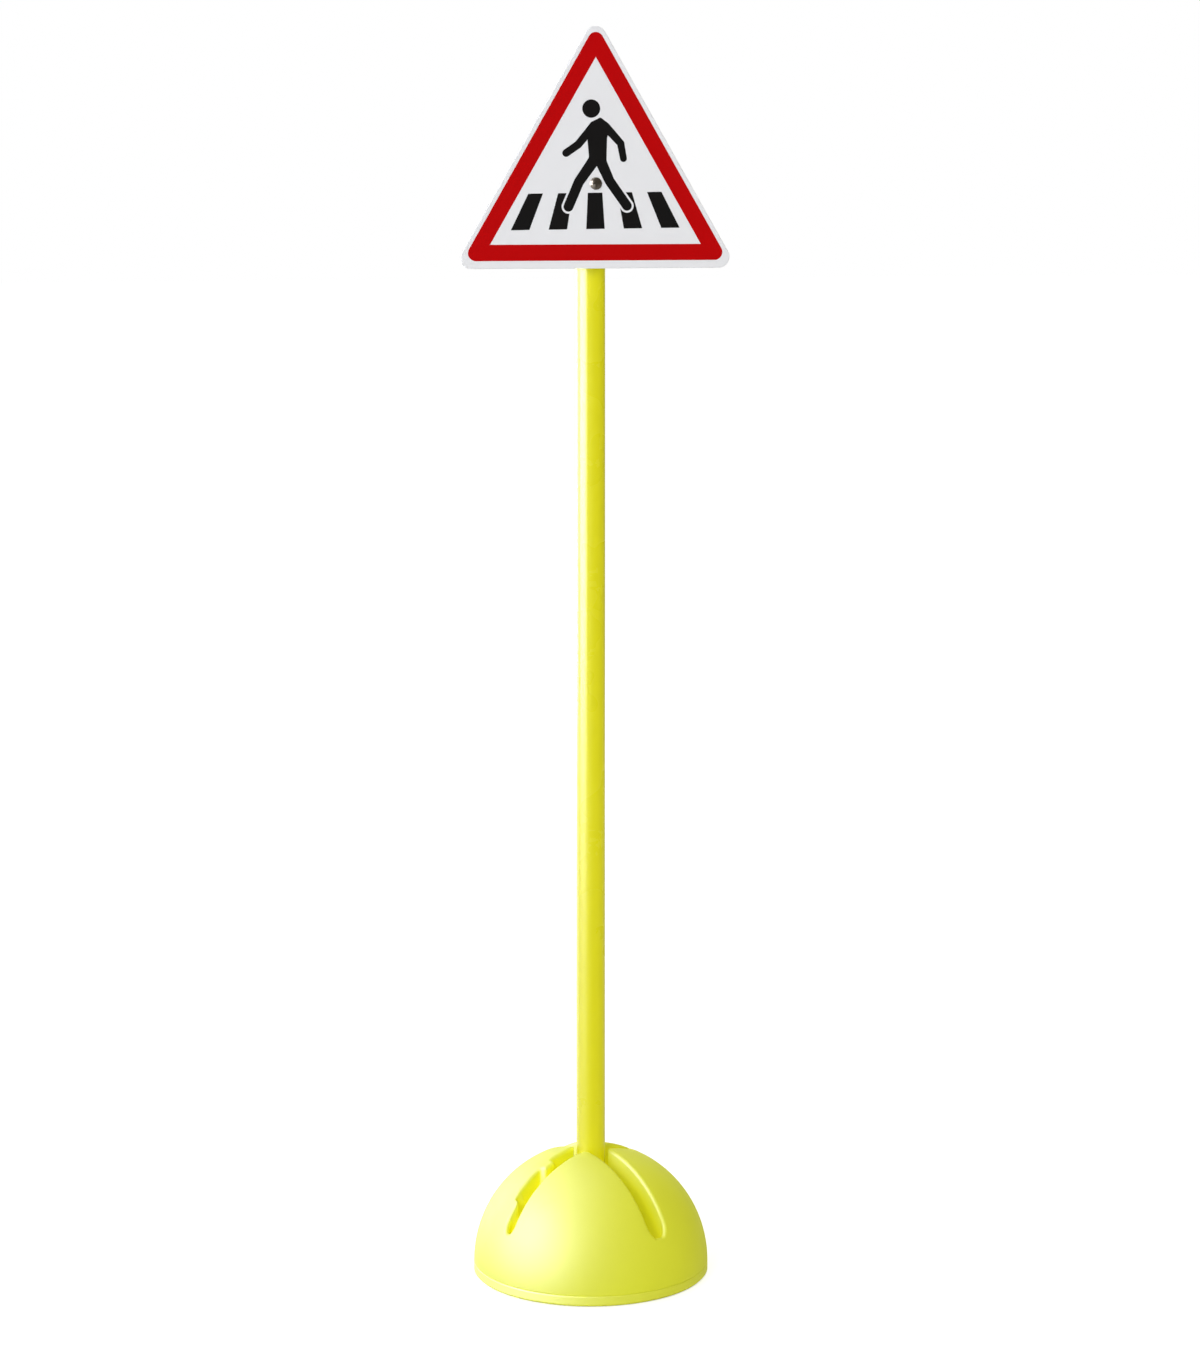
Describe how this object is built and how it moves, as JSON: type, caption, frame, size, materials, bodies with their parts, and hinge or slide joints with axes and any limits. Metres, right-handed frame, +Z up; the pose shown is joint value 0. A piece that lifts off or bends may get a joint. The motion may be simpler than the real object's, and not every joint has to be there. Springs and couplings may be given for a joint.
{
  "type": "pedestrian crossing sign on a weighted foot",
  "caption": "Triangular pedestrian crossing sign screwed to a round pole that stands in a domed, slotted and weighted foot.",
  "frame": {"origin": "middle of the foot's underside, on the floor under the pole", "axes": "+Z up along the pole, the sign faces -Y, +X to the right for who faces the sign from the front"},
  "size_m": [0.2272, 0.2066, 1.0811],
  "materials": {
    "yellow_plastic": "satin moulded",
    "white_plastic": "smooth",
    "red_print": "printed",
    "black_print": "printed",
    "bright_steel": "bright zinc",
    "cast_filling": "cast",
    "foot_rubber": "matt"
  },
  "bodies": {
    "root": {"sign_plate": "white_plastic", "red_border_print": "red_print", "walker_print": "black_print", "stripes_print": "black_print", "sign_screw": "bright_steel", "lock_nut": "bright_steel", "pole_clip": "yellow_plastic", "pole": "yellow_plastic", "pole_top_cap": "yellow_plastic", "pole_bottom_cap": "yellow_plastic", "dome_shell": "yellow_plastic", "ballast": "cast_filling", "bottom_cover": "yellow_plastic", "cover_screws": "bright_steel", "rubber_feet": "foot_rubber"}
  },
  "joints": []
}
